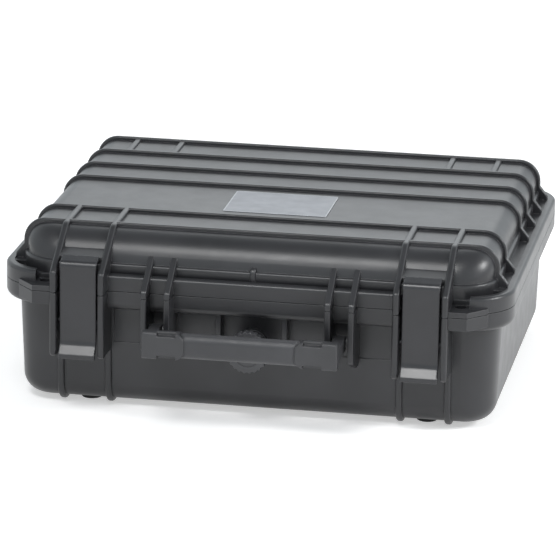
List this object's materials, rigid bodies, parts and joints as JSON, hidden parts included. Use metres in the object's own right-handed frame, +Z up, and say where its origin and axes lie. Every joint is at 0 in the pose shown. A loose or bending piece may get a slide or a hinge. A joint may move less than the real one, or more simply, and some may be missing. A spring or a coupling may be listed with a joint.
{
  "type": "instrument case",
  "caption": "Rugged moulded instrument case with hinged lid, draw latches, folding carry handle, pressure relief valve and cube foam inside.",
  "frame": {"origin": "bottom centre of the whole case on its feet, with the handle standing out as pictured", "axes": "+X along the front to the right, +Y from the handle to the hinges, +Z up"},
  "size_m": [0.43, 0.4266, 0.1549],
  "materials": {
    "shell_plastic": "satin",
    "latch_plastic": "satin",
    "handle_plastic": "matte",
    "grip_rubber": "satin",
    "valve_plastic": "satin",
    "plate_metal": "satin",
    "pin_steel": "satin",
    "seal_rubber": "matte",
    "foot_rubber": "matte",
    "foam": "matte"
  },
  "bodies": {
    "base": {"base_shell": "shell_plastic", "rubber_feet": "foot_rubber", "valve_gasket": "seal_rubber", "valve_body": "valve_plastic", "valve_nut": "valve_plastic", "base_pad_foam": "foam", "pluck_foam": "foam", "hinge_pin_left": "pin_steel", "latch_pivot_pin_left": "pin_steel", "handle_pin_left": "pin_steel", "hinge_pin_right": "pin_steel", "latch_pivot_pin_right": "pin_steel", "handle_pin_right": "pin_steel"},
    "lid": {"lid_shell": "shell_plastic", "lid_seal": "seal_rubber", "name_plate": "plate_metal", "lid_foam": "foam"},
    "handle": {"handle_frame": "handle_plastic", "handle_grip": "grip_rubber"},
    "valve_stem": {"valve_stem": "valve_plastic", "valve_stem_ring": "seal_rubber"},
    "valve_knob": {"valve_knob": "valve_plastic"},
    "latch_link_left": {"latch_link_left": "latch_plastic"},
    "latch_lever_left": {"latch_lever_left": "latch_plastic", "latch_lever_pin_left": "pin_steel"},
    "latch_link_right": {"latch_link_right": "latch_plastic"},
    "latch_lever_right": {"latch_lever_right": "latch_plastic", "latch_lever_pin_right": "pin_steel"}
  },
  "joints": [
    {"name": "lid_hinge", "type": "hinge", "parent": "base", "child": "lid", "pos_m": [0, 0.2063, 0.10695], "axis": [-1, 0, 0], "range_deg": [0, 100]},
    {"name": "handle_swing", "type": "hinge", "parent": "base", "child": "handle", "pos_m": [0, -0.1687, 0.0775], "axis": [1, 0, 0], "range_deg": [-40, 90]},
    {"name": "valve_stem_slide", "type": "slide", "parent": "base", "child": "valve_stem", "axis": [0, -1, 0], "range_m": [0, 0.0015]},
    {"name": "valve_knob_turn", "type": "hinge", "parent": "valve_stem", "child": "valve_knob", "pos_m": [0, -0.176, 0.0652], "axis": [0, -1, 0], "range_deg": [0, 360]},
    {"name": "latch_link_left_swing", "type": "hinge", "parent": "base", "child": "latch_link_left", "pos_m": [-0.1435, -0.1673, 0.081], "axis": [1, 0, 0], "range_deg": [0, 80]},
    {"name": "latch_lever_left_turn", "type": "hinge", "parent": "latch_link_left", "child": "latch_lever_left", "pos_m": [-0.1435, -0.1637, 0.1077], "axis": [-1, 0, 0], "range_deg": [0, 88.5]},
    {"name": "latch_link_right_swing", "type": "hinge", "parent": "base", "child": "latch_link_right", "pos_m": [0.1435, -0.1673, 0.081], "axis": [1, 0, 0], "range_deg": [0, 80]},
    {"name": "latch_lever_right_turn", "type": "hinge", "parent": "latch_link_right", "child": "latch_lever_right", "pos_m": [0.1435, -0.1637, 0.1077], "axis": [-1, 0, 0], "range_deg": [0, 88.5]}
  ],
  "couplings": [
    {"joint": "valve_stem_slide", "follows": "valve_knob_turn", "m_per_rad": 0.00023873},
    {"joint": "latch_lever_left_turn", "follows": "latch_link_left_swing", "ratio": 1.1},
    {"joint": "latch_lever_right_turn", "follows": "latch_link_right_swing", "ratio": 1.1}
  ]
}
